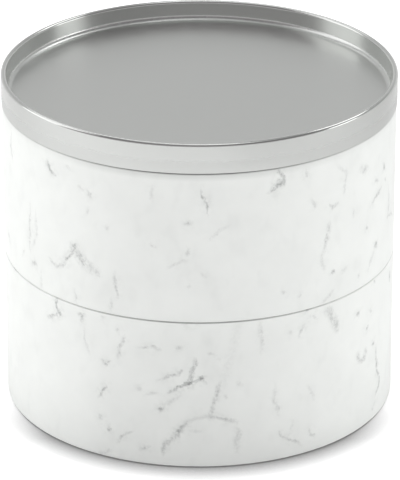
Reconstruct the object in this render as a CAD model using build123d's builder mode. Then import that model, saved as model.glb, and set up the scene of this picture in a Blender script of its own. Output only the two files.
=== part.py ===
"""Round two-tier jewelry box: two marble-look drums that stack, under a pressed metal tray that is also the lid.

Millimetres, +Z up. The origin is the centre of the circle that the feet stand on.
Each drum is a wall ring with a floor board in its rebate, lined with cloth-covered card and a padded disc.
The board of the upper drum and the board under the tray both step down into the drum below, which keeps them centred.
"""

import os
from math import sqrt

from build123d import *

os.makedirs("parts", exist_ok=True)

# Driving dimensions of the two drums
outer_radius = 92.0
wall = 5.0
tier_height = 73.2
edge_break = 0.4

# Floor boards, their rebate, and the step that enters the drum below
board_thickness = 4.0
board_recess = 0.8
rebate_ledge = 2.2
spigot_depth = 3.0
spigot_lead = 0.8

# Feet
foot_radius = 5.5
foot_thickness = 1.4
foot_inset = 19.0
foot_count = 4
foot_edge_break = 0.5

# Soft linings
felt_thickness = 0.8
felt_margin = 1.2
lining_thickness = 1.5
lining_butt_gap = 0.4
pad_thickness = 3.0
headroom = 0.8

# Dividers
divider_thickness = 3.6
divider_round = 0.8
divider_drop = 3.0

# Ring cushion: a foam riser that fills the front half of the upper drum, and the rolls on it.
# The riser takes up whatever height is left once a ring's head has its room under the lid.
roll_count = 6
roll_height = 26.0
roll_foot_round = 1.5
ring_headroom = 13.4

# Tray lid, pressed from one sheet
tray_overhang = 0.3
tray_height = 14.0
tray_depth = 9.4
tray_rim_width = 2.6
tray_rim_flat = 0.05
tray_cove = 2.6
sheet = 0.8

# Named clearances
glue_gap = 0.15
stack_clearance = 0.4
soft_gap = 0.3
notch_clearance = 0.3

# Sizes that follow from those above
inner_radius = outer_radius - wall
rebate_radius = inner_radius + rebate_ledge
rebate_height = board_recess + board_thickness
board_radius = rebate_radius - glue_gap
spigot_radius = inner_radius - stack_clearance
felt_radius = spigot_radius - felt_margin
mouth_depth = spigot_depth + felt_thickness + headroom
lining_outer = inner_radius - glue_gap
lining_inner = lining_outer - lining_thickness
lining_height = tier_height - rebate_height - mouth_depth
soft_radius = lining_inner - soft_gap
divider_height = lining_height - pad_thickness - divider_drop
half_divider = divider_thickness / 2
free_height = lining_height - pad_thickness + headroom
riser_height = free_height - roll_height - ring_headroom

lower_base = foot_thickness - board_recess
upper_base = lower_base + tier_height
tray_base = upper_base + tier_height
tray_top = tray_base + tray_height


def floor_top(tier_base):
    """Height of the top of a drum's floor board."""
    return tier_base + rebate_height


def pad_top(tier_base):
    """Height of the surface that the compartments stand on."""
    return floor_top(tier_base) + pad_thickness


# Drum walls: a ring with a rebate for the floor board under its inner edge
for tier, tier_base in (("lower", lower_base), ("upper", upper_base)):
    with BuildPart() as shell:
        with BuildSketch(Plane.XZ) as shell_section:
            with BuildLine():
                Polyline(
                    (rebate_radius, tier_base),
                    (outer_radius, tier_base),
                    (outer_radius, tier_base + tier_height),
                    (inner_radius, tier_base + tier_height),
                    (inner_radius, floor_top(tier_base)),
                    (rebate_radius, floor_top(tier_base)),
                    close=True,
                )
            make_face()
            rim_corners = shell_section.vertices().group_by(Axis.Y)[-1]
            foot_corner = shell_section.vertices().group_by(Axis.Y)[0].sort_by(Axis.X)[-1]
            chamfer([*rim_corners, foot_corner], edge_break)
        revolve(axis=Axis.Z)
    shell.part.label = f"{tier}_shell"
    export_step(shell.part, f"parts/{tier}_shell.step")

# Cloth-covered card that lines each wall, its two ends meeting at the back, and the padded disc on each floor
for tier, tier_base in (("lower", lower_base), ("upper", upper_base)):
    with BuildPart() as wall_lining:
        with BuildSketch(Plane.XY.offset(floor_top(tier_base))):
            Circle(lining_outer)
            Circle(lining_inner, mode=Mode.SUBTRACT)
            with Locations((0, lining_outer)):
                Rectangle(lining_butt_gap, 4 * lining_thickness, mode=Mode.SUBTRACT)
        extrude(amount=lining_height)
    wall_lining.part.label = f"{tier}_wall_lining"
    export_step(wall_lining.part, f"parts/{tier}_wall_lining.step")

    with BuildPart() as floor_pad:
        with BuildSketch(Plane.XY.offset(floor_top(tier_base))):
            Circle(soft_radius)
        extrude(amount=pad_thickness)
    floor_pad.part.label = f"{tier}_floor_pad"
    export_step(floor_pad.part, f"parts/{tier}_floor_pad.step")

# Floor of the lower drum, set up into the rebate so that the feet stand only a little proud
with BuildPart() as lower_floor_board:
    with BuildSketch(Plane.XY.offset(lower_base + board_recess)):
        Circle(board_radius)
    extrude(amount=board_thickness)
lower_floor_board.part.label = "lower_floor_board"
export_step(lower_floor_board.part, "parts/lower_floor_board.step")

# Stick-on rubber feet
with BuildPart() as rubber_feet:
    with BuildSketch():
        with PolarLocations(board_radius - foot_inset, foot_count, start_angle=180 / foot_count):
            Circle(foot_radius)
    extrude(amount=foot_thickness)
    chamfer(rubber_feet.edges().group_by(Axis.Z)[0], foot_edge_break)
rubber_feet.part.label = "rubber_feet"
export_step(rubber_feet.part, "parts/rubber_feet.step")

# Floor of the upper drum: a flange in the rebate, and a spigot that drops into the mouth of the lower drum
with BuildPart() as upper_floor_board:
    with BuildSketch(Plane.XY.offset(upper_base + board_recess)):
        Circle(board_radius)
    extrude(amount=board_thickness)
    with BuildSketch(Plane.XY.offset(upper_base - spigot_depth)):
        Circle(spigot_radius)
    extrude(amount=spigot_depth + board_recess)
    chamfer(upper_floor_board.edges().sort_by(Axis.Z)[0], spigot_lead)
upper_floor_board.part.label = "upper_floor_board"
export_step(upper_floor_board.part, "parts/upper_floor_board.step")

# Felt under each spigot
for owner, seat_height in (("upper", upper_base), ("tray", tray_base)):
    with BuildPart() as underside_felt:
        with BuildSketch(Plane.XY.offset(seat_height - spigot_depth)):
            Circle(felt_radius)
        extrude(amount=-felt_thickness)
    underside_felt.part.label = f"{owner}_underside_felt"
    export_step(underside_felt.part, f"parts/{owner}_underside_felt.step")

# Dividers of the lower drum, halved over each other where they cross
lap_height = divider_height / 2
for direction, plane, lap_base in (
    ("long", Plane.XY.offset(pad_top(lower_base)), lap_height),
    ("cross", Plane.XY.offset(pad_top(lower_base)).rotated((0, 0, 90)), 0),
):
    with BuildPart() as lower_divider:
        with BuildSketch(plane):
            Rectangle(2 * soft_radius, divider_thickness)
        extrude(amount=divider_height)
        fillet(lower_divider.edges().group_by(Axis.Z)[-1], divider_round)
        with BuildSketch(plane.offset(lap_base)):
            Rectangle(divider_thickness + notch_clearance, 2 * divider_thickness)
        extrude(amount=lap_height, mode=Mode.SUBTRACT)
    lower_divider.part.label = f"lower_divider_{direction}"
    export_step(lower_divider.part, f"parts/lower_divider_{direction}.step")

# Dividers of the upper drum: one across the middle, and one that butts against its back face
with BuildPart() as upper_divider_long:
    with BuildSketch(Plane.XY.offset(pad_top(upper_base))):
        Rectangle(2 * soft_radius, divider_thickness)
    extrude(amount=divider_height)
    fillet(upper_divider_long.edges().group_by(Axis.Z)[-1], divider_round)
upper_divider_long.part.label = "upper_divider_long"
export_step(upper_divider_long.part, "parts/upper_divider_long.step")

with BuildPart() as upper_divider_short:
    with BuildSketch(Plane.XY.offset(pad_top(upper_base))):
        with Locations((0, half_divider)):
            Rectangle(divider_thickness, soft_radius - half_divider, align=(Align.CENTER, Align.MIN))
    extrude(amount=divider_height)
    fillet(upper_divider_short.edges().group_by(Axis.Z)[-1], divider_round)
upper_divider_short.part.label = "upper_divider_short"
export_step(upper_divider_short.part, "parts/upper_divider_short.step")

# Half-moon foam riser in front of the long divider
cushion_front = -(half_divider + soft_gap)
with BuildPart() as ring_riser:
    with BuildSketch(Plane.XY.offset(pad_top(upper_base))):
        Circle(soft_radius)
        with Locations((0, cushion_front)):
            Rectangle(
                2 * outer_radius, 2 * outer_radius, align=(Align.CENTER, Align.MIN), mode=Mode.SUBTRACT
            )
    extrude(amount=riser_height)
ring_riser.part.label = "ring_riser"
export_step(ring_riser.part, "parts/ring_riser.step")

# Ring rolls: padded strips with a full-round top, side by side, each cut to the curve of the wall
roll_base = pad_top(upper_base) + riser_height
roll_pitch = (soft_radius + cushion_front) / roll_count
roll_width = roll_pitch - soft_gap
roll_shoulder = roll_base + roll_height - roll_width / 2
for index in range(roll_count):
    near_side = cushion_front - index * roll_pitch
    far_side = near_side - roll_width
    middle = (near_side + far_side) / 2
    half_chord = sqrt(soft_radius**2 - near_side**2)
    with BuildPart() as ring_roll:
        with BuildSketch(Plane.YZ.offset(-half_chord)) as roll_section:
            with BuildLine():
                Line((near_side, roll_shoulder), (near_side, roll_base))
                Line((near_side, roll_base), (far_side, roll_base))
                Line((far_side, roll_base), (far_side, roll_shoulder))
                ThreePointArc(
                    (far_side, roll_shoulder), (middle, roll_base + roll_height), (near_side, roll_shoulder)
                )
            make_face()
            fillet(roll_section.vertices().group_by(Axis.Y)[0], roll_foot_round)
        extrude(amount=2 * half_chord)
        with BuildSketch(Plane.XY.offset(roll_base)):
            Circle(soft_radius)
        extrude(amount=roll_height, mode=Mode.INTERSECT)
    ring_roll.part.label = f"ring_roll_{index + 1}"
    export_step(ring_roll.part, f"parts/ring_roll_{index + 1}.step")

# Tray pan: flat floor, coved foot, inner wall, rolled rim and outer skirt, all one pressed sheet.
# The faces that show are rounded. Inside the fold the corners are square, and under the cove there is one flat facet.
tray_radius = outer_radius + tray_overhang
rim_round = (tray_rim_width - tray_rim_flat) / 2
well_radius = tray_radius - tray_rim_width
well_floor = tray_top - tray_depth
cove_facet = (tray_cove + sheet) * (2 - sqrt(2))
with BuildPart() as tray_pan:
    with BuildSketch(Plane.XZ):
        with BuildLine():
            FilletPolyline(
                (0, well_floor),
                (well_radius, well_floor),
                (well_radius, tray_top),
                (tray_radius, tray_top),
                (tray_radius, tray_base),
                (tray_radius - sheet, tray_base),
                (tray_radius - sheet, tray_top - sheet),
                (well_radius + sheet, tray_top - sheet),
                (well_radius + sheet, well_floor - sheet + cove_facet),
                (well_radius + sheet - cove_facet, well_floor - sheet),
                (0, well_floor - sheet),
                radius=[0, tray_cove, rim_round, rim_round, 0, 0, 0, 0, 0, 0, 0],
                close=True,
            )
        make_face()
    revolve(axis=Axis.Z)
tray_pan.part.label = "tray_pan"
export_step(tray_pan.part, "parts/tray_pan.step")

# Board under the tray: it fills the skirt, its shoulder rests on the upper drum, and its spigot centres the lid
with BuildPart() as tray_core_board:
    with BuildSketch(Plane.XY.offset(tray_base)):
        Circle(tray_radius - sheet - glue_gap)
    extrude(amount=well_floor - sheet - tray_base)
    with BuildSketch(Plane.XY.offset(tray_base - spigot_depth)):
        Circle(spigot_radius)
    extrude(amount=spigot_depth)
    chamfer(tray_core_board.edges().sort_by(Axis.Z)[0], spigot_lead)
tray_core_board.part.label = "tray_core_board"
export_step(tray_core_board.part, "parts/tray_core_board.step")
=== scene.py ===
"""Looks of the round two-tier jewelry box.

Marble-look drums stand under a satin nickel tray and are lined with linen and suede. Sizes come from the
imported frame. Lengths are in millimetres, except for those of the floor, the lamps and the camera: metres.
"""

import math

import bmesh
import bpy
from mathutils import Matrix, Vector, noise


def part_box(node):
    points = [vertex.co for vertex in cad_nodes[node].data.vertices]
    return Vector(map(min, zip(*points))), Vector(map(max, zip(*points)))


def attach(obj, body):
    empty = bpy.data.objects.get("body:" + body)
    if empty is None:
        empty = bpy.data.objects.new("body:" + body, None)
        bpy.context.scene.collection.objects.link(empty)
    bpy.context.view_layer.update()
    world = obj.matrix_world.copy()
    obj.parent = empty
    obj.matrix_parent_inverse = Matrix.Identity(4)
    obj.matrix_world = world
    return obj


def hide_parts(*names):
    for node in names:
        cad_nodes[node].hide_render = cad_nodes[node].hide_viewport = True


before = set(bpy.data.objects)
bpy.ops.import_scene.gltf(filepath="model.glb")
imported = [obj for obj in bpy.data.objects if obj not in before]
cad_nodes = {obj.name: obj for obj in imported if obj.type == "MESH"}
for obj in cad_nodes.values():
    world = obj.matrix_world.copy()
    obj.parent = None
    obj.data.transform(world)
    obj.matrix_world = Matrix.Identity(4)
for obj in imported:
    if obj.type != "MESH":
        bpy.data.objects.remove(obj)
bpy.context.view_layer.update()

# Blender's noise takes a new seed in each run unless it is given one
noise.seed_set(7)

MM = 0.001
PER_MM = 1000.0


def low(node):
    """Lowest corner of a CAD node, in millimetres."""
    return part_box(node)[0] * PER_MM


def high(node):
    """Highest corner of a CAD node, in millimetres."""
    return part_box(node)[1] * PER_MM


outer_radius = high("upper_shell").x
tier_height = high("upper_shell").z - low("upper_shell").z
half_way_round = math.pi * outer_radius
lining_outer = high("upper_wall_lining").x
soft_radius = high("upper_floor_pad").x
divider_half = high("upper_divider_long").y
lining_thickness = 1.5
lining_inner = lining_outer - lining_thickness
tray_top = high("tray_pan").z
tray_depth = 9.4
tray_cove = 2.6
tray_well = tray_top - tray_depth
roll_count = 6


# Mesh helpers
def arc(centre, radius, start, end, steps):
    """Points on an arc of a profile, from one angle in degrees to another."""
    points = []
    for step in range(steps + 1):
        angle = math.radians(start + (end - start) * step / steps)
        points.append((centre[0] + radius * math.cos(angle), centre[1] + radius * math.sin(angle)))
    return points


def new_piece(name, bm, body, material):
    """Turns a bmesh in millimetres into a smooth piece that rides on a body."""
    bmesh.ops.recalc_face_normals(bm, faces=bm.faces)
    bmesh.ops.scale(bm, vec=(MM, MM, MM), verts=bm.verts)
    mesh = bpy.data.meshes.new(name)
    bm.to_mesh(mesh)
    bm.free()
    mesh.shade_smooth()
    mesh.materials.append(material)
    piece = bpy.data.objects.new(name, mesh)
    bpy.context.scene.collection.objects.link(piece)
    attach(piece, body)
    return piece


def lathe(profile, steps):
    """A closed profile of (radius, height) turned about the Z axis. A radius of zero makes a pole."""
    bm = bmesh.new()
    rings = []
    for radius, height in profile:
        if radius == 0:
            rings.append([bm.verts.new((0, 0, height))])
            continue
        turns = [2 * math.pi * step / steps for step in range(steps)]
        rings.append([bm.verts.new((radius * math.sin(t), -radius * math.cos(t), height)) for t in turns])
    for here, there in zip(rings, rings[1:] + rings[:1]):
        for step in range(steps):
            after = (step + 1) % steps
            if len(here) == 1 and len(there) == 1:
                break
            if len(here) == 1:
                bm.faces.new((here[0], there[step], there[after]))
            elif len(there) == 1:
                bm.faces.new((here[step], there[0], here[after]))
            else:
                bm.faces.new((here[step], there[step], there[after], here[after]))
    return bm


def marks(start, end, step, edge):
    """Places from start to end about a step apart, with one more a short edge away from each end."""
    inner_start, inner_end = start + edge, end - edge
    count = max(1, round((inner_end - inner_start) / step))
    inner = [inner_start + (inner_end - inner_start) * n / count for n in range(count + 1)]
    return [start, *inner, end]


def skin(filled, place):
    """The closed skin of a set of lattice cells. place gives a lattice corner (i, j, k) its point."""
    bm = bmesh.new()
    corners = {}

    def corner(key):
        if key not in corners:
            corners[key] = bm.verts.new(place(*key))
        return corners[key]

    for cell in sorted(filled):
        for axis in range(3):
            first, second = (axis + 1) % 3, (axis + 2) % 3
            for side in (0, 1):
                neighbour = list(cell)
                neighbour[axis] += 2 * side - 1
                if tuple(neighbour) in filled:
                    continue
                loop = []
                for step_first, step_second in ((0, 0), (1, 0), (1, 1), (0, 1)):
                    key = list(cell)
                    key[axis] += side
                    key[first] += step_first
                    key[second] += step_second
                    loop.append(corner(tuple(key)))
                bm.faces.new(loop)
    return bm


def cells(*counts):
    """All the cells of a lattice with so many cells each way."""
    return {(i, j, k) for i in range(counts[0]) for j in range(counts[1]) for k in range(counts[2])}


def on_disc(u, v, radius):
    """A point of the square from -1 to 1, moved so that the square becomes a disc."""
    return radius * u * math.sqrt(1 - v * v / 2), radius * v * math.sqrt(1 - u * u / 2)


def disc_skin(places, heights, radius):
    """The skin of a disc whose lattice has the same places from -1 to 1 both ways."""
    last = len(places) - 1

    def place(i, j, k):
        return (*on_disc(places[i], places[j], radius), heights[k])

    return skin(cells(last, last, len(heights) - 1), place)


def uneven(bm, size, reach):
    """Moves the points by smooth noise, so that cloth and board don't look machined."""
    for vertex in bm.verts:
        vertex.co += reach * noise.noise_vector(vertex.co / size)


def subdivide(piece):
    """Smooths a lattice piece by one level of subdivision."""
    smooth = piece.modifiers.new("smooth", "SUBSURF")
    smooth.levels = smooth.render_levels = 1


# Shader graphs
class Graph:
    """Adds nodes to one material's or world's tree, and links them as they are made."""

    def __init__(self, tree):
        self.tree = tree
        self.tree.nodes.clear()

    def add(self, kind, inputs=(), **settings):
        node = self.tree.nodes.new(kind)
        for name, value in settings.items():
            setattr(node, name, value)
        for name, value in dict(inputs).items():
            self.put(node.inputs[name], value)
        return node

    def put(self, socket, value):
        """Links a socket to another one, or sets its value."""
        if isinstance(value, bpy.types.NodeSocket):
            self.tree.links.new(value, socket)
        else:
            socket.default_value = value

    def math(self, operation, *values, clamp=False):
        inputs = dict(enumerate(values))
        return self.add("ShaderNodeMath", inputs, operation=operation, use_clamp=clamp).outputs[0]

    def scaled(self, vector, factor):
        node = self.add("ShaderNodeVectorMath", {"Vector": vector, "Scale": factor}, operation="SCALE")
        return node.outputs["Vector"]

    def dot(self, first, second):
        """The dot product of two vectors."""
        node = self.add("ShaderNodeVectorMath", {0: first, 1: second}, operation="DOT_PRODUCT")
        return node.outputs["Value"]

    def stretched(self, vector, scale):
        """A vector scaled by its own factor on each axis."""
        return self.add("ShaderNodeMapping", {"Vector": vector, "Scale": scale}).outputs[0]

    def joined(self, x, y, z=0.0):
        return self.add("ShaderNodeCombineXYZ", {"X": x, "Y": y, "Z": z}).outputs[0]

    def parts(self, vector):
        node = self.add("ShaderNodeSeparateXYZ", {"Vector": vector})
        return node.outputs["X"], node.outputs["Y"], node.outputs["Z"]

    def millimetres(self):
        """The point in the object's own space."""
        return self.scaled(self.add("ShaderNodeTexCoord").outputs["Object"], PER_MM)

    def noise(self, vector, size, detail=2.0, roughness=0.5, output="Fac"):
        """Noise from 0 to 1 whose features are about size millimetres."""
        values = {"Vector": vector, "Scale": 1.0 / size, "Detail": detail, "Roughness": roughness}
        return self.add("ShaderNodeTexNoise", values).outputs[output]

    def spread(self, value, low_in, high_in, low_out=0.0, high_out=1.0):
        """Maps one range to another and holds the ends."""
        ends = {"From Min": low_in, "From Max": high_in, "To Min": low_out, "To Max": high_out}
        return self.add("ShaderNodeMapRange", {"Value": value, **ends}).outputs["Result"]

    def mixed(self, factor, first, second):
        """A colour between two colours."""
        return self.add("ShaderNodeMix", {0: factor, 6: first, 7: second}, data_type="RGBA").outputs[2]

    def bump(self, height, distance, strength=1.0):
        """A normal from a height of 0 to 1 that stands distance millimetres high."""
        values = {"Height": height, "Distance": distance * MM, "Strength": strength}
        return self.add("ShaderNodeBump", values).outputs["Normal"]

    def surface(self, **inputs):
        """The principled shader. Keyword names are its sockets, with underscores for spaces."""
        shader = self.add("ShaderNodeBsdfPrincipled", {k.replace("_", " "): v for k, v in inputs.items()})
        self.end("ShaderNodeOutputMaterial", shader)

    def end(self, kind, shader):
        """Links a shader to an output node of some kind."""
        self.add(kind, {"Surface": shader.outputs[0]})


def new_material(name):
    """An empty material, and the graph that fills it."""
    material = bpy.data.materials.new(name)
    material.use_nodes = True
    return material, Graph(material.node_tree)


def grey(level, green=0.0, blue=0.0):
    """A colour close to grey, with a little more green or blue."""
    return (level, level + green, level + blue, 1.0)


# Marble. Each vein is (darkness, half width, points), and a point is (distance along the wall from the front,
# height above the drum's foot). A vein of one point is a spot.
DARK = 0.56
STRONG = 0.45
MEDIUM = 0.34
FAINT = 0.2
BARELY = 0.07
VEIN_SPREAD = 1.5

UPPER_VEINS = (
    (MEDIUM, 0.8, ((-112, 68), (-113, 60), (-111, 55))),
    (MEDIUM, 0.8, ((-121, 15), (-119, 11))),
    (DARK, 0.8, ((-78, 66), (-76, 63), (-73, 62))),
    (FAINT, 0.8, ((-65, 68), (-63, 66))),
    (MEDIUM, 0.8, ((-92, 38), (-93, 28), (-93, 19))),
    (FAINT, 0.9, ((-87, 37), (-87, 28), (-90, 20))),
    (DARK, 0.8, ((-91, 12), (-88, 11))),
    (FAINT, 0.8, ((-98, 14), (-101, 11))),
    (FAINT, 0.8, ((-84, 9), (-84, 1))),
    (DARK, 0.8, ((-61, 30), (-61, 28), (-64, 23), (-66, 21))),
    (MEDIUM, 0.8, ((-66, 21), (-68, 18), (-72, 16), (-77, 18))),
    (MEDIUM, 1.2, ((-60, 28), (-57, 23), (-55, 22))),
    (FAINT, 3.0, ((-60, 27), (-57, 24))),
    (FAINT, 2.2, ((-56, 22), (-48, 20))),
    (FAINT, 0.8, ((-50, 20), (-48, 18))),
    (MEDIUM, 0.8, ((-39, 20), (-39, 14), (-38, 10))),
    (FAINT, 0.8, ((-61, 7), (-60, 2))),
    (FAINT, 0.8, ((-42, 8), (-42, 1))),
    (FAINT, 0.8, ((-58, 60), (-56, 58))),
    (MEDIUM, 0.8, ((-53, 58), (-51, 55))),
    (FAINT, 0.8, ((-53, 50), (-54, 47))),
    (FAINT, 0.8, ((-21, 66), (-21, 60))),
    (FAINT, 1.0, ((-43, 43),)),
    (FAINT, 0.8, ((-23, 38), (-20, 37))),
    (MEDIUM, 1.3, ((-5, 49),)),
    (MEDIUM, 0.8, ((-4, 36), (-6, 33))),
    (FAINT, 0.8, ((-14, 27), (-11, 29), (-7, 31))),
    (FAINT, 0.8, ((-4, 19), (-5, 17))),
    (FAINT, 0.8, ((1, 25), (3, 22))),
    (STRONG, 0.5, ((1, 65), (2, 60), (4, 54))),
    (STRONG, 0.9, ((35, 73), (38, 69), (39, 65), (36, 64), (32, 62))),
    (MEDIUM, 1.2, ((38, 68), (34, 63))),
    (MEDIUM, 0.8, ((50, 69), (51, 66))),
    (MEDIUM, 0.8, ((54, 53), (56, 50))),
    (MEDIUM, 0.8, ((64, 49), (65, 47), (68, 48))),
    (MEDIUM, 1.2, ((64, 39), (63, 34), (62, 30))),
    (FAINT, 1.0, ((62, 30), (60, 24), (61, 18))),
    (DARK, 0.9, ((67, 15),)),
    (FAINT, 0.9, ((70, 66), (74, 62), (73, 55), (73, 52))),
    (MEDIUM, 1.5, ((85, 60), (91, 58))),
    (FAINT, 0.8, ((80, 42), (80, 38))),
    (MEDIUM, 0.8, ((90, 30), (92, 28))),
    (MEDIUM, 0.8, ((98, 50), (102, 48))),
    (DARK, 0.9, ((107, 55), (109, 51))),
    (MEDIUM, 1.0, ((111, 45),)),
    (STRONG, 0.8, ((104, 43), (100, 41), (95, 39))),
    (MEDIUM, 0.8, ((116, 38), (117, 30), (115, 25), (120, 24), (126, 21))),
    (DARK, 1.3, ((100, 17),)),
    (FAINT, 0.9, ((99, 16), (95, 11), (93, 7))),
    (FAINT, 0.8, ((5, 41), (7, 44), (12, 47))),
    (FAINT, 0.8, ((72, 12), (76, 14))),
    (FAINT, 1.0, ((84, 7),)),
    (FAINT, 0.9, ((60, 1), (66, 5))),
    (FAINT, 0.9, ((39, 11),)),
    (FAINT, 0.9, ((47, 8),)),
)

LOWER_VEINS = (
    (DARK, 0.8, ((-72, 73), (-73, 70), (-71, 66))),
    (STRONG, 0.8, ((-71, 66), (-75, 63), (-79, 61))),
    (MEDIUM, 0.8, ((-71, 66), (-69, 65))),
    (MEDIUM, 0.8, ((-57, 70), (-58, 66))),
    (STRONG, 1.1, ((-58, 69.5),)),
    (FAINT, 0.8, ((-56, 62), (-56, 57), (-54, 52))),
    (FAINT, 0.9, ((-46, 71),)),
    (FAINT, 0.9, ((-38, 66),)),
    (MEDIUM, 0.8, ((-35, 63), (-37, 58), (-38, 53))),
    (STRONG, 0.8, ((-46, 49), (-44, 47), (-42, 49))),
    (DARK, 0.7, ((-45, 36), (-46, 34), (-48, 31))),
    (MEDIUM, 0.8, ((-48, 21), (-48, 18))),
    (DARK, 0.8, ((-44, 15), (-42, 14.5))),
    (MEDIUM, 0.8, ((-27, 59), (-22, 60), (-19, 59))),
    (MEDIUM, 0.8, ((-10, 60), (-7, 61))),
    (DARK, 1.0, ((-2, 55), (-2, 51), (-4, 46), (-5, 43))),
    (MEDIUM, 0.8, ((-18, 44), (-13, 46), (-9, 48), (-8, 49))),
    (DARK, 0.8, ((1, 46), (0, 45), (-3, 44), (-5, 43), (-10, 41), (-14, 38))),
    (MEDIUM, 0.8, ((0, 45), (3, 43))),
    (MEDIUM, 0.8, ((-29, 38), (-27, 38.5))),
    (FAINT, 0.9, ((-25, 36), (-19, 37))),
    (DARK, 0.8, ((-19, 28.5), (-17, 29.5))),
    (FAINT, 0.9, ((-17, 30), (-9, 37))),
    (FAINT, 1.1, ((4, 26), (-2, 25), (-7, 22), (-10, 18))),
    (MEDIUM, 0.8, ((-7, 21), (-10, 18), (-9, 15))),
    (MEDIUM, 1.2, ((-10, 18), (-13, 14), (-16, 10), (-17, 6))),
    (FAINT, 0.8, ((-5, 19), (0, 18))),
    (MEDIUM, 0.8, ((-38, 9), (-36, 13), (-32, 15))),
    (MEDIUM, 0.8, ((-28, 7), (-23, 9))),
    (FAINT, 1.0, ((-48, 1), (-42, 4))),
    (BARELY, 2.2, ((17, 73), (16, 62), (13, 50), (10, 40))),
    (FAINT, 0.8, ((28, 70), (29, 64), (29, 57))),
    (MEDIUM, 0.9, ((5, 58),)),
    (FAINT, 0.8, ((8, 55), (10, 54))),
    (MEDIUM, 1.0, ((9, 42), (8, 38), (7, 33), (5, 26))),
    (MEDIUM, 0.9, ((5, 26), (9, 25), (13, 24), (17, 22))),
    (FAINT, 0.9, ((17, 43), (20, 41))),
    (FAINT, 0.9, ((12, 36),)),
    (FAINT, 0.8, ((35, 38), (35, 30), (37, 27), (38, 23))),
    (FAINT, 1.0, ((37, 26),)),
    (FAINT, 1.5, ((17, 19), (18, 14), (17, 8))),
    (MEDIUM, 0.8, ((38, 14), (39, 12), (44, 8), (48, 5))),
    (FAINT, 0.8, ((45, 18), (44, 13))),
    (MEDIUM, 0.8, ((54, 11), (57, 7))),
    (MEDIUM, 2.1, ((63, 70), (66, 66), (68, 62), (70, 58))),
    (MEDIUM, 0.8, ((50, 66), (48, 61))),
    (FAINT, 0.9, ((43, 64),)),
    (MEDIUM, 0.8, ((55, 69), (57, 68))),
    (STRONG, 0.8, ((84, 60), (86, 61))),
    (MEDIUM, 0.8, ((95, 59), (97, 57))),
    (DARK, 0.8, ((92, 50), (94, 51))),
    (MEDIUM, 1.4, ((86, 40), (86, 37), (88, 35), (91, 35), (92, 39))),
    (DARK, 0.9, ((100, 40),)),
    (STRONG, 0.8, ((103, 36), (103, 30), (104, 24), (107, 20), (107, 15), (104, 11))),
    (FAINT, 0.9, ((100, 5),)),
    (FAINT, 0.9, ((102, 7),)),
    (MEDIUM, 0.8, ((99, 72), (100, 70))),
    (DARK, 1.4, ((122, 66), (123, 62))),
    (FAINT, 0.8, ((53, 34), (56, 27))),
    (STRONG, 0.5, ((-7, 73), (-3, 73))),
    (STRONG, 0.5, ((50, 73), (54, 73))),
    (MEDIUM, 0.5, ((-113, 73), (-109, 73))),
)


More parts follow.
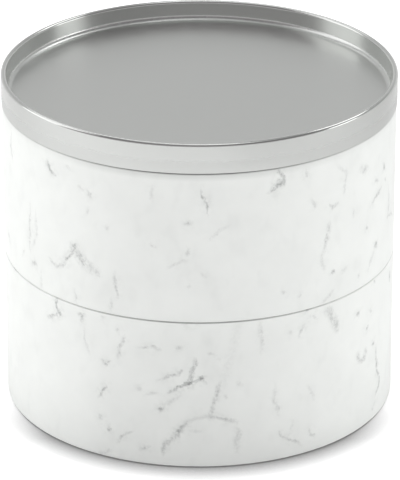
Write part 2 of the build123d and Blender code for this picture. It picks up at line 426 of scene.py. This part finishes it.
def marble(name, foot, veins, seam_line_dark, seam_line_reach, soft_shadow_dark):
    """Polished marble look for one drum.

    Veins follow the drawing on the front half, and on the back half again upside down. Each sits in a smoky
    patch. The upper edge carries painted shade, most of all at the front: a dark painted line at the very
    edge, whose darkness and reach are the fourth and fifth arguments, and a wider painted soft shadow below
    it, whose darkness is the last.
    """
    material, g = new_material(name)
    point = g.millimetres()
    x, y, z = g.parts(point)
    along = g.math("MULTIPLY", g.math("ARCTAN2", x, g.math("MULTIPLY", y, -1.0)), outer_radius)
    radius = g.math("SQRT", g.math("ADD", g.math("MULTIPLY", x, x), g.math("MULTIPLY", y, y)))
    over_the_edge = g.math("SUBTRACT", outer_radius, radius)
    height = g.math("ADD", g.math("SUBTRACT", z, foot), over_the_edge)

    # The back half is the front half moved half way round and turned upside down
    behind = g.math("GREATER_THAN", g.math("ABSOLUTE", along), half_way_round / 2)
    step_back = g.math("MULTIPLY", g.math("MULTIPLY", g.math("SIGN", along), behind), half_way_round)
    flipped = g.math("SUBTRACT", tier_height, g.math("MULTIPLY", height, 2.0))
    drawing_x = g.math("SUBTRACT", along, step_back)
    drawing_y = g.math("MULTIPLY_ADD", behind, flipped, height)

    # Wander of the veins, coarse and fine
    coarse_reach, fine_reach = 3.2, 2.0
    coarse = g.scaled(g.noise(point, 7.0, detail=1.0, output="Color"), coarse_reach)
    fine = g.scaled(g.noise(point, 1.3, detail=3.0, roughness=0.6, output="Color"), fine_reach)
    wander = g.add("ShaderNodeVectorMath", {0: coarse, 1: fine}, operation="ADD").outputs[0]
    wander_x, wander_y, _ = g.parts(wander)
    middle = (coarse_reach + fine_reach) / 2
    drawing = g.joined(
        g.math("ADD", drawing_x, g.math("SUBTRACT", wander_x, middle)),
        g.math("ADD", drawing_y, g.math("SUBTRACT", wander_y, middle)),
    )

    def stroke(total, centre, turn, half_length, half_width, darkness):
        place = g.add(
            "ShaderNodeMapping",
            {
                "Vector": drawing,
                "Location": (centre.x, centre.y, 0.0),
                "Rotation": (0.0, 0.0, turn),
                "Scale": (half_length, half_width, 1.0),
            },
            vector_type="TEXTURE",
        )
        blot = g.add("ShaderNodeTexGradient", {"Vector": place.outputs[0]}, gradient_type="SPHERICAL")
        return g.math("MULTIPLY_ADD", blot.outputs["Fac"], darkness, total)

    lines = smoke = 0.0
    for darkness, half_width, points in veins:
        corners = [Vector(p) for p in points]
        half_width *= VEIN_SPREAD
        whole = corners[-1] - corners[0]
        middle_point = sum(corners, Vector((0, 0))) / len(corners)
        smoke = stroke(
            smoke, middle_point, math.atan2(whole.y, whole.x), 0.62 * whole.length + 4.0, 4.5, 1.7 * darkness
        )
        if len(corners) == 1:
            lines = stroke(lines, corners[0], 0.0, 1.3 * half_width, half_width, darkness)
        for start, end in zip(corners, corners[1:]):
            run = end - start
            reach = run.length if len(corners) > 2 else 0.8 * run.length
            half_length = max(reach, 1.2 * half_width)
            turn = math.atan2(run.y, run.x)
            lines = stroke(lines, (start + end) / 2, turn, half_length, half_width, darkness)

    broken = g.spread(g.noise(point, 1.6, detail=4.0, roughness=0.75), 0.34, 0.62, 0.12, 1.15)
    vein = g.math("MULTIPLY", lines, broken, clamp=True)
    feathers = g.spread(g.noise(point, 3.2, detail=3.0, roughness=0.65), 0.45, 0.7)
    haze = g.math("MULTIPLY", g.math("MULTIPLY", smoke, feathers, clamp=True), 0.37)

    # Cloudy shade and a faint smoky grain everywhere
    wisps = g.noise(g.stretched(point, (1.0, 1.0, 0.6)), 8.0, detail=2.0, roughness=0.5)
    veil = g.spread(wisps, 0.55, 0.8, 0.0, 0.09)
    cloud = g.spread(g.noise(point, 22.0, detail=3.0, roughness=0.6), 0.35, 0.7)

    base = g.mixed(cloud, (0.85, 0.872, 0.848, 1.0), (0.885, 0.907, 0.882, 1.0))
    shaded = g.mixed(g.math("MAXIMUM", veil, haze), base, (0.38, 0.4, 0.39, 1.0))
    colour = g.mixed(vein, shaded, (0.16, 0.172, 0.17, 1.0))
    roughness = g.spread(g.noise(point, 3.0, detail=3.0), 0.3, 0.7, 0.285, 0.37)

    # Painted shade at the upper edge: a dark painted line at the seam and a soft painted shadow below it,
    # strongest at the front and on the outer face
    in_front = g.spread(g.math("ABSOLUTE", along), 15.0, 80.0, 1.0, 0.35)
    painted_seam_line = g.spread(height, tier_height - seam_line_reach, tier_height - 0.3, 0.0, seam_line_dark)
    painted_soft_shadow = g.spread(height, tier_height - 4.0, tier_height - 0.5, 0.0, soft_shadow_dark)
    painted_shade_and_wear = g.math("MULTIPLY", g.math("MAXIMUM", painted_seam_line, painted_soft_shadow), in_front)
    painted_shade_and_wear = g.math("MULTIPLY", painted_shade_and_wear, g.spread(over_the_edge, 0.7, 2.2, 1.0, 0.15))
    colour = g.mixed(painted_shade_and_wear, colour, (0.2, 0.205, 0.2, 1.0))
    relief = g.noise(point, 2.6, detail=1.0)
    g.surface(Base_Color=colour, Roughness=roughness, Normal=g.bump(relief, 0.005))
    return material


def nickel(name):
    """Satin nickel on pressed steel, with a fine random grain."""
    material, g = new_material(name)
    point = g.millimetres()
    grain = g.noise(point, 0.25, detail=3.0, roughness=0.7)
    smear = g.noise(point, 9.0, detail=3.0, roughness=0.6)
    height = g.parts(point)[2]
    floor_to_wall = g.spread(height, tray_well + 0.1, tray_well + tray_cove, 0.28, 0.19)
    polished_rim = g.spread(height, tray_top - 1.8, tray_top - 0.9, 0.0, -0.1)
    # Random wear in the roughness only, not in the colour
    painted_shade_and_wear = g.math("ADD", g.spread(smear, 0.35, 0.65, 0.0, 0.04), g.spread(grain, 0.3, 0.7, 0.0, 0.03))
    roughness = g.math("ADD", g.math("ADD", floor_to_wall, polished_rim), painted_shade_and_wear)
    colour = g.mixed(smear, (0.605, 0.617, 0.602, 1.0), (0.635, 0.646, 0.631, 1.0))
    g.surface(Base_Color=colour, Metallic=1.0, Roughness=roughness, Normal=g.bump(grain, 0.002))
    return material


def fibre_board(name):
    """Sealed pressed fibre board."""
    material, g = new_material(name)
    point = g.millimetres()
    fibres = g.noise(g.stretched(point, (1.0, 0.45, 1.0)), 0.9, detail=4.0, roughness=0.7)
    blotch = g.noise(point, 14.0, detail=3.0)
    flecks = g.spread(g.noise(point, 0.5, detail=1.0), 0.62, 0.72)
    tone = g.mixed(g.spread(fibres, 0.3, 0.7), (0.34, 0.235, 0.145, 1.0), (0.5, 0.37, 0.25, 1.0))
    tone = g.mixed(g.spread(blotch, 0.35, 0.65, 0.0, 0.25), tone, (0.42, 0.3, 0.2, 1.0))
    tone = g.mixed(g.math("MULTIPLY", flecks, 0.4), tone, (0.2, 0.13, 0.08, 1.0))
    g.surface(Base_Color=tone, Roughness=g.spread(fibres, 0.3, 0.7, 0.5, 0.68), Normal=g.bump(fibres, 0.03))
    return material


def rubber(name):
    """Dark rubber with a fine grain."""
    material, g = new_material(name)
    point = g.millimetres()
    grain = g.noise(point, 0.4, detail=3.0, roughness=0.6)
    tone = g.mixed(g.noise(point, 3.0), grey(0.055), grey(0.075))
    g.surface(Base_Color=tone, Roughness=g.spread(grain, 0.3, 0.7, 0.6, 0.78), Normal=g.bump(grain, 0.02))
    return material


def felt(name):
    """Pressed wool felt."""
    material, g = new_material(name)
    point = g.millimetres()
    tangle = g.noise(point, 0.7, detail=5.0, roughness=0.75)
    tufts = g.noise(point, 3.5, detail=3.0)
    tone = g.mixed(g.spread(tangle, 0.3, 0.7), grey(0.36, blue=-0.008), grey(0.5, blue=-0.008))
    tone = g.mixed(g.spread(tufts, 0.35, 0.65, 0.0, 0.4), tone, grey(0.4, blue=-0.008))
    relief = g.bump(tangle, 0.12)
    g.surface(Base_Color=tone, Roughness=0.95, Sheen_Weight=0.35, Sheen_Roughness=0.6, Normal=relief)
    return material


def suede(name, tone_low, tone_high):
    """Microfibre suede: a short nap brushed into soft light and dark patches."""
    material, g = new_material(name)
    point = g.millimetres()
    nap = g.noise(point, 0.35, detail=3.0, roughness=0.7)
    brushed = g.noise(point, 9.0, detail=4.0, roughness=0.6)
    tone = g.mixed(g.spread(brushed, 0.38, 0.62), tone_low, tone_high)
    tone = g.mixed(g.spread(nap, 0.35, 0.65, 0.0, 0.3), tone, tone_low)
    relief = g.bump(nap, 0.05)
    g.surface(Base_Color=tone, Roughness=0.88, Sheen_Weight=0.45, Sheen_Roughness=0.45, Normal=relief)
    return material


def linen(name, wrapped):
    """Plain linen weave. wrapped cloth goes round the wall, flat cloth runs along both dividers."""
    material, g = new_material(name)
    point = g.millimetres()
    x, y, z = g.parts(point)
    if wrapped:
        across = g.math("MULTIPLY", g.math("ARCTAN2", x, y), lining_outer)
    else:
        across = g.math("ADD", x, y)
    thread_pitch = 0.9
    slub = g.noise(g.joined(g.math("DIVIDE", across, 12.0), z), 1.1, detail=2.0)
    slub_up = g.noise(g.joined(across, g.math("DIVIDE", z, 12.0)), 1.1, detail=2.0)
    warp = g.math("SINE", g.math("MULTIPLY", across, math.pi / thread_pitch))
    weft = g.math("SINE", g.math("MULTIPLY", z, math.pi / thread_pitch))
    over = g.math("MULTIPLY_ADD", g.math("MULTIPLY", warp, weft), 0.5, 0.5)
    warp_on_top = g.math("MULTIPLY", g.math("ABSOLUTE", warp), over)
    weft_on_top = g.math("MULTIPLY", g.math("ABSOLUTE", weft), g.math("SUBTRACT", 1.0, over))
    threads = g.math("ADD", warp_on_top, weft_on_top)
    thickness = g.spread(g.math("ADD", slub, slub_up), 0.75, 1.25)
    tone = g.mixed(thickness, (0.5, 0.485, 0.455, 1.0), (0.66, 0.645, 0.61, 1.0))
    tone = g.mixed(g.spread(threads, 0.1, 0.9, 0.35, 0.0), tone, (0.3, 0.29, 0.265, 1.0))
    relief = g.bump(g.math("MULTIPLY_ADD", thickness, 0.5, threads), 0.1)
    g.surface(Base_Color=tone, Roughness=0.85, Sheen_Weight=0.15, Sheen_Roughness=0.5, Normal=relief)
    return material


# The last three numbers set each drum's painted shade at its upper edge: a dark painted line at the seam, and
# for the upper drum a soft painted shadow under the tray's band
lower_marble = marble(
    "lower_marble_look", low("lower_shell").z, LOWER_VEINS, seam_line_dark=0.74, seam_line_reach=0.7, soft_shadow_dark=0.0
)
upper_marble = marble(
    "upper_marble_look", low("upper_shell").z, UPPER_VEINS, seam_line_dark=1.0, seam_line_reach=1.2, soft_shadow_dark=0.26
)
materials = {
    "lower_marble": lower_marble,
    "upper_marble": upper_marble,
    "tray_metal": nickel("tray_nickel"),
    "board": fibre_board("fibre_board"),
    "foot_rubber": rubber("foot_rubber_grain"),
    "underside_felt": felt("grey_felt"),
    "lining_cloth": linen("linen_on_wall", wrapped=True),
    "divider_cloth": linen("linen_on_dividers", wrapped=False),
    "pad_suede": suede("suede_on_pads", (0.44, 0.43, 0.41, 1.0), (0.56, 0.55, 0.525, 1.0)),
    "roll_suede": suede("suede_on_rolls", (0.46, 0.45, 0.43, 1.0), (0.6, 0.59, 0.565, 1.0)),
}

slot_of = {name: node.material_slots[0].material.name for name, node in cad_nodes.items()}
for node in cad_nodes.values():
    for slot in node.material_slots:
        slot.material = materials[slot.material.name]


def tray_pressing():
    """The tray again with a finer turning, because its rolled rim shows every facet."""
    radius, foot = high("tray_pan").x, low("tray_pan").z
    rim_width, sheet, hem, draft = 2.6, 0.8, 0.15, 0.2
    rim_round = rim_width / 2
    well_radius = radius - rim_width
    rim_centre = (well_radius + rim_round, tray_top - rim_round)
    cove_height = tray_well + tray_cove
    floor_ring, skirt_ring = 40, foot + 4.0
    profile = [(0, tray_well), (floor_ring, tray_well)]
    profile += arc((well_radius - draft - tray_cove, cove_height), tray_cove, -90, 0, 14)
    profile += arc(rim_centre, rim_round, 180, 0, 28)
    profile += [(radius, skirt_ring)]
    profile += arc((radius - hem, foot + hem), hem, 0, -90, 4)
    profile += [(radius - sheet, foot), (radius - sheet, tray_top - rim_round)]
    profile += arc(rim_centre, rim_round - sheet, 0, 180, 8)[1:]
    profile += [(well_radius + sheet, cove_height)]
    profile += arc((well_radius - tray_cove, cove_height), tray_cove + sheet, 0, -90, 10)[1:]
    profile += [(0, tray_well - sheet)]
    bm = lathe(profile, 384)
    piece = new_piece("tray_pressing", bm, "tray_lid", materials["tray_metal"])
    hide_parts("tray_pan")


tray_pressing()


# Soft pieces. The stuffed ones start a little small and are blown up together by Blender's cloth.
cloth_pressure = 4.0
cloth_growth = 0.03
cloth_frames = 20
to_blow_up = []


def soft_piece(name, node, bm, body, look=None):
    """A soft piece that stands for one CAD node and takes its finish from the same material slot."""
    slot = slot_of[node]
    piece = new_piece(name, bm, body, materials[look or slot])
    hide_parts(node)
    subdivide(piece)
    return piece


def stuffed(piece, held, cap):
    """Lists a piece for blowing up. held says of a point, in millimetres, whether it stays where it is."""
    to_blow_up.append((piece, held, cap))


def blow_up():
    """Runs the cloth simulation for every stuffed piece, and caps how far a point may move."""
    for piece, held, _ in to_blow_up:
        group = piece.vertex_groups.new(name="held")
        group.add([v.index for v in piece.data.vertices if held(v.co * PER_MM)], 1.0, "REPLACE")
        cloth = piece.modifiers.new("cloth", "CLOTH")
        piece.modifiers.move(len(piece.modifiers) - 1, 0)
        cloth.settings.vertex_group_mass = group.name
        cloth.settings.use_pressure = True
        cloth.settings.uniform_pressure_force = cloth_pressure
        cloth.settings.shrink_min = -cloth_growth
        cloth.settings.effector_weights.gravity = 0.0
        cloth.collision_settings.use_collision = False
        piece.modifiers["smooth"].show_viewport = False
    for frame_number in range(1, cloth_frames + 1):
        bpy.context.scene.frame_set(frame_number)
    settled = bpy.context.evaluated_depsgraph_get()
    results = []
    for piece, _, _ in to_blow_up:
        results.append([v.co.copy() for v in piece.evaluated_get(settled).data.vertices])
    for (piece, _, cap), after in zip(to_blow_up, results):
        piece.modifiers.remove(piece.modifiers["cloth"])
        piece.modifiers["smooth"].show_viewport = True
        for vertex, place in zip(piece.data.vertices, after):
            move = place - vertex.co
            move *= min(1.0, cap * MM / max(move.length, 1e-9))
            vertex.co += move
        piece.data.update()
    bpy.context.scene.frame_set(1)


def underside_felt(name, node, body):
    """A disc of pressed felt with a soft cut edge, glued under a spigot."""
    radius, foot, top = high(node).x, low(node).z, high(node).z
    places = marks(-1.0, 1.0, 0.06, 0.005)
    heights = marks(foot, top, 1.0, 0.25)
    bm = disc_skin(places, heights, radius)
    uneven(bm, 9.0, 0.06)
    piece = soft_piece(name, node, bm, body)


def wall_lining(name, node, body):
    """Linen over card, bent round the wall. The cloth is turned over the top edge and in at both ends."""
    foot, top = low(node).z, high(node).z
    half_gap = 0.2 / lining_inner
    turns = marks(half_gap, 2 * math.pi - half_gap, math.radians(2.5), 0.6 / lining_inner)
    radii = marks(lining_inner, lining_outer, 1.0, 0.35)
    heights = marks(foot, top, 6.0, 0.6)

    def place(i, j, k):
        return radii[j] * math.sin(turns[i]), radii[j] * math.cos(turns[i]), heights[k]

    bm = skin(cells(len(turns) - 1, len(radii) - 1, len(heights) - 1), place)
    uneven(bm, 16.0, 0.09)
    piece = soft_piece(name, node, bm, body)


def divider(name, node, body, notch=None):
    """Linen over board, with rounded edges.

    notch is the half width of the slot where another divider crosses, and whether it is cut from above.
    """
    corner_low, corner_high = low(node), high(node)
    along_x = corner_high.x - corner_low.x > corner_high.y - corner_low.y
    start, end = (corner_low.x, corner_high.x) if along_x else (corner_low.y, corner_high.y)
    foot, top = corner_low.z, corner_high.z
    step, edge = 2.6, 0.7
    widths = marks(-divider_half, divider_half, 2.0, 0.75)
    if notch:
        half_slot, from_above = notch
        first = marks(start, -half_slot, step, edge)
        places = first + marks(half_slot, end, step, edge)
        waist = (foot + top) / 2
        below = marks(foot, waist, step, edge)
        heights = below + marks(waist, top, step, edge)[1:]
    else:
        places = marks(start, end, step, edge)
        heights = marks(foot, top, step, edge)
    filled = cells(len(places) - 1, len(widths) - 1, len(heights) - 1)
    if notch:
        lap = len(below) - 1
        filled = {c for c in filled if c[0] != len(first) - 1 or (c[2] < lap) == from_above}

    def place(i, j, k):
        if along_x:
            return places[i], widths[j], heights[k]
        return -widths[j], places[i], heights[k]

    bm = skin(filled, place)
    uneven(bm, 11.0, 0.1)
    piece = soft_piece(name, node, bm, body, look="divider_cloth")


def floor_pad(name, node, body, pressed):
    """A suede-covered foam disc. It swells between what stands on it, and is pulled down all round its edge.

    pressed says of a point whether something stands on it there.
    """
    foot = low(node).z
    top_before = high(node).z - 0.45
    places = marks(-1.0, 1.0, 0.036, 0.01)
    heights = marks(foot, top_before, 1.2, 0.5)
    bm = disc_skin(places, heights, soft_radius - 0.15)
    uneven(bm, 14.0, 0.12)
    piece = soft_piece(name, node, bm, body)
    stuffed(piece, lambda p: p.z < foot + 0.6 or pressed(p), 0.55)


def ring_riser():
    """The half-moon foam block under the ring rolls."""
    slack = 0.3
    foot, top = low("ring_riser").z, high("ring_riser").z - slack
    back = high("ring_riser").y
    across = marks(-1.0, 1.0, 0.045, 0.012)
    forward = marks(-1.0, 0.0, 0.045, 0.012)
    heights = marks(foot, top, 3.0, 0.8)

    def place(i, j, k):
        x, y = on_disc(across[i], forward[j], soft_radius)
        y = back + y * (soft_radius + back) / soft_radius
        inside = min(1.0, (soft_radius - 0.4) / math.hypot(x, y))
        return x * inside, y * inside, heights[k]

    def glued(p):
        """Whether a point is on the foot, on the top under the rolls, or on the back against the divider."""
        return p.z < foot + 0.5 or p.z > top - 0.5 or p.y > back - 0.4

    bm = skin(cells(len(across) - 1, len(forward) - 1, len(heights) - 1), place)
    uneven(bm, 18.0, 0.15)
    piece = soft_piece("riser_cover", "ring_riser", bm, "upper_tier")
    stuffed(piece, glued, slack)


def ring_roll(number):
    """One padded roll: foam with a round top in a suede cover, its ends cut to the curve of the wall."""
    node = f"ring_roll_{number}"
    corner_low, corner_high = low(node), high(node)
    slack = 0.4
    near, far = corner_high.y - slack, corner_low.y + slack
    middle = (near + far) / 2
    round_radius = (near - far) / 2
    foot, top = corner_low.z, corner_high.z - slack
    shoulder = top - round_radius
    lengths = marks(-1.0, 1.0, 2.6 / corner_high.x, 0.8 / corner_high.x)
    widths = marks(-1.0, 1.0, 0.36, 0.14)
    straight = marks(foot, shoulder, 2.4, 0.7)
    domed = (0.33, 0.66, 1.0)

    def place(i, j, k):
        sideways = widths[j]
        if k < len(straight):
            y, z = middle + round_radius * sideways, straight[k]
        else:
            dy, dz = on_disc(sideways, domed[k - len(straight)], round_radius)
            y, z = middle + dy, shoulder + dz
        half_chord = math.sqrt((soft_radius - slack) ** 2 - y * y)
        return lengths[i] * half_chord, y, z

    counts = (len(lengths) - 1, len(widths) - 1, len(straight) + len(domed) - 1)
    bm = skin(cells(*counts), place)
    uneven(bm, 13.0, 0.22)
    uneven(bm, 4.0, 0.08)
    piece = soft_piece(f"roll_cover_{number}", node, bm, "upper_tier")

    def sewn(p):
        """Whether a point is on the foot, or on a stitch of the seam up each end."""
        near_end = math.hypot(p.x, p.y) > soft_radius - slack - 1.0
        return p.z < foot + 0.8 or (near_end and math.sin(p.z * 1.3 + p.y * 1.1) > 0.3)

    stuffed(piece, sewn, 0.5)


def under_lower_dividers(p):
    """Whether a point of the lower pad is under the crossed dividers or at the pad's edge."""
    return min(abs(p.x), abs(p.y)) < divider_half + 0.6 or math.hypot(p.x, p.y) > soft_radius - 1.2


def under_upper_inserts(p):
    """Whether a point of the upper pad is under the riser or a divider, or at the pad's edge."""
    behind_divider = p.y > divider_half + 0.6 and abs(p.x) > divider_half + 0.6
    return not behind_divider or math.hypot(p.x, p.y) > soft_radius - 1.2


underside_felt("upper_felt_disc", "upper_underside_felt", "upper_tier")
underside_felt("tray_felt_disc", "tray_underside_felt", "tray_lid")
wall_lining("lower_lining_cloth", "lower_wall_lining", "lower_tier")
wall_lining("upper_lining_cloth", "upper_wall_lining", "upper_tier")
crossing_half = divider_half + 0.15
divider("lower_divider_long_cover", "lower_divider_long", "lower_tier", notch=(crossing_half, True))
divider("lower_divider_cross_cover", "lower_divider_cross", "lower_tier", notch=(crossing_half, False))
divider("upper_divider_long_cover", "upper_divider_long", "upper_tier")
divider("upper_divider_short_cover", "upper_divider_short", "upper_tier")
floor_pad("lower_pad_cover", "lower_floor_pad", "lower_tier", under_lower_dividers)
floor_pad("upper_pad_cover", "upper_floor_pad", "upper_tier", under_upper_inserts)
ring_riser()
for number in range(1, roll_count + 1):
    ring_roll(number)
blow_up()


# Floor, world, lamps and camera
def stage():
    """A white floor.

    For the light it throws up and for what the metal mirrors, its colour is painted darker close by than far
    off, and towards the right and the back, which paints shade on the drums. The camera sees it white, with a
    short painted shadow in front of where the drum stands on it, darkened by ambient occlusion.
    """
    bpy.ops.mesh.primitive_plane_add(size=8.0)
    floor = bpy.context.object
    floor.name = "floor"
    material, g = new_material("floor_white")
    rays = g.add("ShaderNodeLightPath")
    point = g.millimetres()
    x, y, _ = g.parts(point)
    distance = g.add("ShaderNodeVectorMath", {0: point}, operation="LENGTH").outputs["Value"]
    seen = rays.outputs["Is Camera Ray"]
    mirrored = g.math("MAXIMUM", rays.outputs["Is Glossy Ray"], rays.outputs["Is Transmission Ray"])
    # The mask of the painted shadow: ambient occlusion, mostly in front of the drum
    shelter = g.add("ShaderNodeAmbientOcclusion", {"Distance": 0.022}, samples=12).outputs["AO"]
    in_front = g.spread(y, -62.0, -20.0, 1.0, 0.2)
    hidden = g.math("MULTIPLY", g.math("SUBTRACT", 1.0, shelter), in_front)

    # The camera and the metal see a little glow on top of the light that falls on the floor. For the camera
    # the glow fades where the ambient occlusion finds the drum close by, in front of it: a painted shadow.
    lift = g.math("MULTIPLY", seen, g.spread(hidden, 0.0, 0.5, 0.53, 0.1))
    lift = g.math("MULTIPLY_ADD", mirrored, 0.03, lift)
    glow = g.add("ShaderNodeEmission", {"Color": grey(1.0), "Strength": lift})

    # Painted shade in the floor's colour. The camera sees it darker by the ambient occlusion, a painted
    # shadow. The light thrown up and what the metal mirrors see it darker close to the drum, and towards the
    # right and the back, which paints shade on the drums and the band.
    seen_level = g.spread(hidden, 0.0, 0.5, 0.82, 0.27)
    beside = g.spread(g.math("ABSOLUTE", x), 50.0, 110.0, 0.61, 0.84)
    thrown_level = g.spread(distance, 110.0, 330.0, beside, 0.88)
    thrown_level = g.math("MULTIPLY", thrown_level, g.spread(x, 60.0, 320.0, 1.0, 0.82))
    thrown_level = g.math("MULTIPLY", thrown_level, g.spread(y, -60.0, 200.0, 1.0, 0.92))
    level = g.add("ShaderNodeMix", {0: seen, 2: thrown_level, 3: seen_level}).outputs[0]
    matt = g.add("ShaderNodeBsdfDiffuse", {"Color": g.mixed(level, grey(0.0), grey(1.0))})
    both = g.add("ShaderNodeAddShader", {0: glow.outputs[0], 1: matt.outputs[0]})
    g.end("ShaderNodeOutputMaterial", both)
    floor.data.materials.append(material)


def studio_world():
    """A pale room: bright low down, darker half way up and bright again high in front.

    The room is darker to the right, and a narrow strip light runs over the object from the left rear.
    """
    world = bpy.data.worlds.new("studio")
    bpy.context.scene.world = world
    world.use_nodes = True
    g = Graph(world.node_tree)
    direction = g.add("ShaderNodeTexCoord").outputs["Generated"]
    side, depth, rise = g.parts(direction)

    def rosy(level):
        """A grey with a little red in it."""
        return (level * 1.03, level * 0.945, level * 0.99, 1.0)

    def by_height(*stops):
        """Colours from the horizon at 0 to straight above at 1."""
        ramp = g.add("ShaderNodeValToRGB", {"Fac": rise})
        stop_list = ramp.color_ramp.elements
        while len(stop_list) < len(stops):
            stop_list.new(0.5)
        for stop, (place, colour) in zip(stop_list, stops):
            stop.position = place
            stop.color = colour
        return ramp.outputs["Color"]

    rear = by_height(
        (0.0, grey(1.0)), (0.1, grey(0.9)), (0.3, grey(0.69)), (0.65, grey(0.56)), (1.0, grey(0.4))
    )
    front = by_height(
        (0.0, grey(0.85)),
        (0.15, grey(0.65)),
        (0.4, rosy(0.35)),
        (0.6, rosy(0.25)),
        (0.87, grey(0.26)),
        (0.94, grey(0.85)),
        (1.0, grey(0.85)),
    )
    blend = g.mixed(g.spread(depth, -0.3, 0.3), front, rear)
    to_the_right = g.math("MULTIPLY", g.spread(side, 0.25, 0.6, 0.0, 0.4), g.spread(rise, 0.15, 0.35))
    blend = g.mixed(to_the_right, blend, grey(0.2))
    strip_start = Vector((-0.406, 0.675, 0.616)).normalized()
    strip_end = Vector((0.17, 0.1, 0.98)).normalized()
    strip_middle = (strip_start + strip_end).normalized()
    strip_side = strip_start.cross(strip_end).normalized()
    full_width, faded_width = math.sin(math.radians(3.5)), math.sin(math.radians(6))
    off_line = g.math("ABSOLUTE", g.dot(direction, strip_side))
    across_strip = g.spread(off_line, full_width, faded_width, 1.0, 0.0)
    reach = strip_start.dot(strip_middle)
    along_strip = g.spread(g.dot(direction, strip_middle), reach - 0.03, reach)
    strip = g.math("MULTIPLY", across_strip, along_strip)
    colour = g.mixed(strip, blend, grey(1.0))
    strength = g.spread(strip, 0.0, 1.0, 1.0, 2.6)
    g.end("ShaderNodeOutputWorld", g.add("ShaderNodeBackground", {"Color": colour, "Strength": strength}))


def facing(aim):
    """The rotation of a lamp or camera that looks along a direction."""
    return aim.to_track_quat("-Z", "Y").to_euler()


def softbox(name, place, size, power, in_gloss=True):
    """A rectangular lamp that faces the middle of the object. in_gloss says whether the metal mirrors it."""
    lamp = bpy.data.lights.new(name, "AREA")
    lamp.shape = "RECTANGLE"
    lamp.size, lamp.size_y = size
    lamp.energy = power
    holder = bpy.data.objects.new(name, lamp)
    bpy.context.scene.collection.objects.link(holder)
    holder.location = place
    aim = Vector((0.0, 0.0, 0.08)) - Vector(place)
    holder.rotation_euler = facing(aim)
    holder.visible_glossy = in_gloss
    holder.visible_camera = False


def camera():
    """Where the photograph was taken from: almost 24 degrees above the horizon, with a long lens."""
    target = Vector((0.00031, 0.0, 0.0738))
    pivot = Vector((0.0, 0.0, 0.080))
    distance = 1.7966
    elevation = math.radians(23.85)
    lens = bpy.data.cameras.new("camera")
    lens.sensor_width = 36.0
    lens.lens = 284.7
    lens.clip_end = 20.0
    holder = bpy.data.objects.new("camera", lens)
    bpy.context.scene.collection.objects.link(holder)
    holder.location = pivot + distance * Vector((0.0, -math.cos(elevation), math.sin(elevation)))
    holder.rotation_euler = facing(target - holder.location)
    bpy.context.scene.camera = holder


stage()
studio_world()
softbox("left_box", (-1.3, 0.2, 0.85), (0.9, 1.5), 4.3)
softbox("right_box", (1.4, -0.09, 0.48), (0.55, 0.4), 1.4)
softbox("rear_right_box", (0.75, 0.75, 1.3), (0.5, 0.5), 2.0)
softbox("top_box", (0.0, 0.0, 1.55), (0.8, 0.8), 9.6, in_gloss=False)
softbox("left_fill", (-1.25, -0.55, 0.7), (0.6, 0.6), 4.6, in_gloss=False)
softbox("right_fill", (1.25, -0.6, 0.7), (0.6, 0.6), 6.0, in_gloss=False)
camera()
bpy.context.scene.view_settings.view_transform = "Standard"
